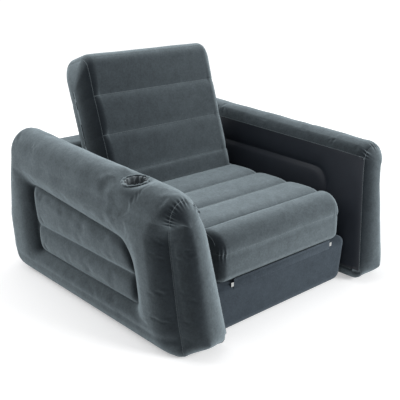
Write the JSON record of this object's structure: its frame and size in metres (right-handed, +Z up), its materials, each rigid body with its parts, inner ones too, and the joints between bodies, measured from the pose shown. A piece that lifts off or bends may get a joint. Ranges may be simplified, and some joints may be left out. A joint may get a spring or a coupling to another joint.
{
  "type": "inflatable chair bed",
  "caption": "Flocked inflatable armchair whose ribbed seat and backrest fold out over flap hinges into a low bed, with a cup holder in one arm and screw-in air valves.",
  "frame": {"origin": "on the floor, under the middle of the chair's box", "axes": "+Z up, the front faces -Y, and +X is the right side as seen from the front; left and right in the names are as seen from the front"},
  "size_m": [1.17, 1.1154, 0.8935],
  "materials": {
    "flocked_film": "soft dark slate flocking on flexible vinyl film",
    "web_film": "bare satin vinyl film inside the chambers",
    "cup_film": "bare dark vinyl, drawn into pleats",
    "flap_film": "bare dark vinyl film",
    "pale_film": "pale uncoated edge of the hinge film",
    "valve_plastic": "moulded soft grey plastic",
    "valve_flap_film": "thin pale flexible disc"
  },
  "bodies": {
    "surround": {"left_arm_wrap": "flocked_film", "left_arm_front_panel": "flocked_film", "left_arm_rear_panel": "flocked_film", "left_arm_web": "web_film", "right_arm_wrap": "flocked_film", "right_arm_front_panel": "flocked_film", "right_arm_rear_panel": "flocked_film", "right_arm_web": "web_film", "rear_wall_wrap": "flocked_film", "rear_wall_left_panel": "flocked_film", "rear_wall_right_panel": "flocked_film", "rear_wall_web": "web_film", "seat_base_wrap": "flocked_film", "seat_base_left_panel": "flocked_film", "seat_base_right_panel": "flocked_film", "seat_base_web_1": "web_film", "seat_base_web_2": "web_film", "seat_base_web_3": "web_film", "seat_base_web_4": "web_film", "seat_flap_lower": "flap_film", "hinge_tab_left": "pale_film", "hinge_tab_right": "pale_film", "cup_holder_well": "cup_film", "cup_holder_lip": "flocked_film", "wall_valve_flange": "valve_plastic"},
    "fold_out_seat": {"fold_out_seat_wrap": "flocked_film", "fold_out_seat_left_panel": "flocked_film", "fold_out_seat_right_panel": "flocked_film", "fold_out_seat_web_1": "web_film", "fold_out_seat_web_2": "web_film", "fold_out_seat_web_3": "web_film", "seat_flap_upper": "flap_film", "backrest_flap_lower": "flap_film", "seat_valve_flange": "valve_plastic"},
    "backrest": {"backrest_wrap": "flocked_film", "backrest_left_panel": "flocked_film", "backrest_right_panel": "flocked_film", "backrest_web_1": "web_film", "backrest_web_2": "web_film", "backrest_web_3": "web_film", "backrest_flap_upper": "flap_film", "backrest_valve_flange": "valve_plastic"},
    "wall_valve": {"wall_valve_body": "valve_plastic", "wall_valve_strap": "valve_plastic"},
    "wall_valve_lid": {"wall_valve_cap": "valve_plastic"},
    "wall_valve_check": {"wall_valve_flap": "valve_flap_film"},
    "seat_valve": {"seat_valve_body": "valve_plastic", "seat_valve_strap": "valve_plastic"},
    "seat_valve_lid": {"seat_valve_cap": "valve_plastic"},
    "seat_valve_check": {"seat_valve_flap": "valve_flap_film"},
    "backrest_valve": {"backrest_valve_body": "valve_plastic", "backrest_valve_strap": "valve_plastic"},
    "backrest_valve_lid": {"backrest_valve_cap": "valve_plastic"},
    "backrest_valve_check": {"backrest_valve_flap": "valve_flap_film"}
  },
  "joints": [
    {"name": "seat_fold", "type": "hinge", "parent": "surround", "child": "fold_out_seat", "pos_m": [0, -0.49, 0.187], "axis": [1, 0, 0], "range_deg": [0, 180]},
    {"name": "backrest_fold", "type": "hinge", "parent": "fold_out_seat", "child": "backrest", "pos_m": [0, 0.1425, 0.354], "axis": [-1, 0, 0], "range_deg": [0, 72]},
    {"name": "wall_valve_turn", "type": "hinge", "parent": "surround", "child": "wall_valve", "pos_m": [0.2, 0.5445, 0.4293], "axis": [0, 1, 0], "range_deg": [0, 270]},
    {"name": "wall_valve_lid_open", "type": "hinge", "parent": "wall_valve", "child": "wall_valve_lid", "pos_m": [0.181, 0.5563, 0.4293], "axis": [0, 0, 1], "range_deg": [0, 150]},
    {"name": "wall_valve_check_open", "type": "hinge", "parent": "wall_valve", "child": "wall_valve_check", "pos_m": [0.1875, 0.5302, 0.4293], "axis": [0, 0, -1], "range_deg": [0, 60], "stiffness_Nm_per_rad": 0.0005},
    {"name": "seat_valve_turn", "type": "hinge", "parent": "fold_out_seat", "child": "seat_valve", "pos_m": [-0.36, -0.17375, 0.28058], "axis": [-1, 0, 0], "range_deg": [0, 270]},
    {"name": "seat_valve_lid_open", "type": "hinge", "parent": "seat_valve", "child": "seat_valve_lid", "pos_m": [-0.3718, -0.17375, 0.26158], "axis": [0, -1, 0], "range_deg": [0, 150]},
    {"name": "seat_valve_check_open", "type": "hinge", "parent": "seat_valve", "child": "seat_valve_check", "pos_m": [-0.3457, -0.17375, 0.26808], "axis": [0, 1, 0], "range_deg": [0, 60], "stiffness_Nm_per_rad": 0.0005},
    {"name": "backrest_valve_turn", "type": "hinge", "parent": "backrest", "child": "backrest_valve", "pos_m": [0.2, 0.40172, 0.61137], "axis": [0, 0.9511, -0.309], "range_deg": [0, 270]},
    {"name": "backrest_valve_lid_open", "type": "hinge", "parent": "backrest_valve", "child": "backrest_valve_lid", "pos_m": [0.181, 0.41294, 0.60772], "axis": [0, 0.309, 0.9511], "range_deg": [0, 150]},
    {"name": "backrest_valve_check_open", "type": "hinge", "parent": "backrest_valve", "child": "backrest_valve_check", "pos_m": [0.1875, 0.38812, 0.61579], "axis": [0, -0.309, -0.9511], "range_deg": [0, 60], "stiffness_Nm_per_rad": 0.0005}
  ],
  "couplings": [
    {"joint": "backrest_fold", "follows": "seat_fold", "ratio": 0.4}
  ]
}
